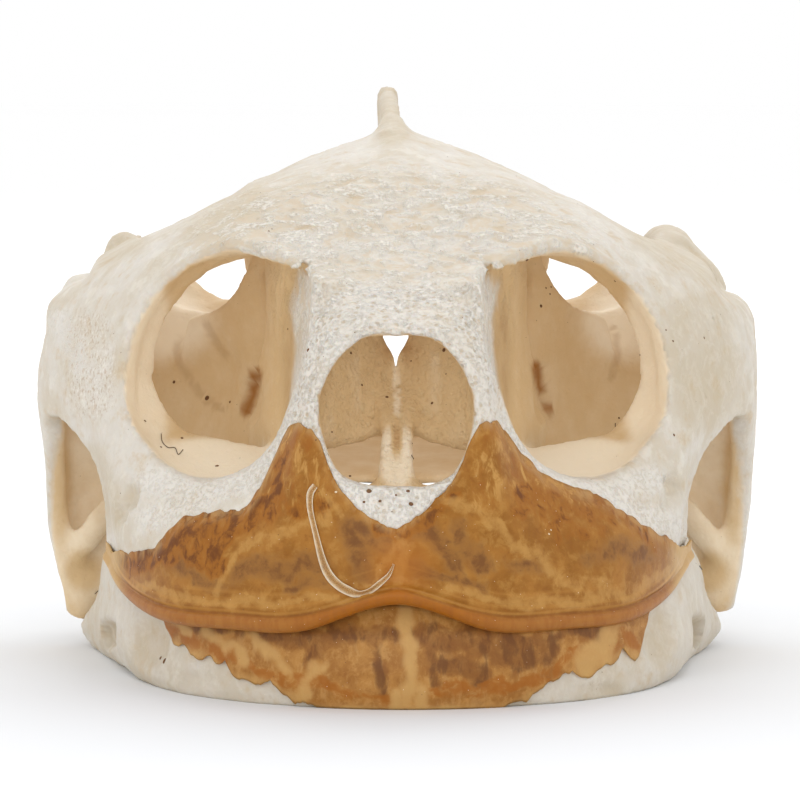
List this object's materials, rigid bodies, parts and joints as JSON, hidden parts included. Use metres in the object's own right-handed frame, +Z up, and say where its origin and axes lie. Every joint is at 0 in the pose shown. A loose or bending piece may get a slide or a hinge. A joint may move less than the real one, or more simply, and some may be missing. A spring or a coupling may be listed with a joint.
{
  "type": "turtle skull",
  "caption": "Broad freshwater turtle skull with large eye openings, a backswept crest and horn beaks, resting on its closed lower jaw.",
  "frame": {"origin": "on the resting surface, under the middle of the skull's bounding box", "axes": "+Z up, -Y the way the animal faces, +X to the animal's left"},
  "size_m": [0.0711, 0.0914, 0.055],
  "materials": {
    "cranium_bone": "dry cream bone, slightly porous",
    "jaw_bone": "dry cream bone, slightly porous",
    "upper_horn": "translucent amber horn with brown mottling, soft sheen",
    "lower_horn": "translucent amber horn with brown streaks, soft sheen"
  },
  "bodies": {
    "root": {"cranium": "cranium_bone", "lower_jaw": "jaw_bone", "upper_beak": "upper_horn", "lower_beak": "lower_horn"}
  },
  "joints": []
}
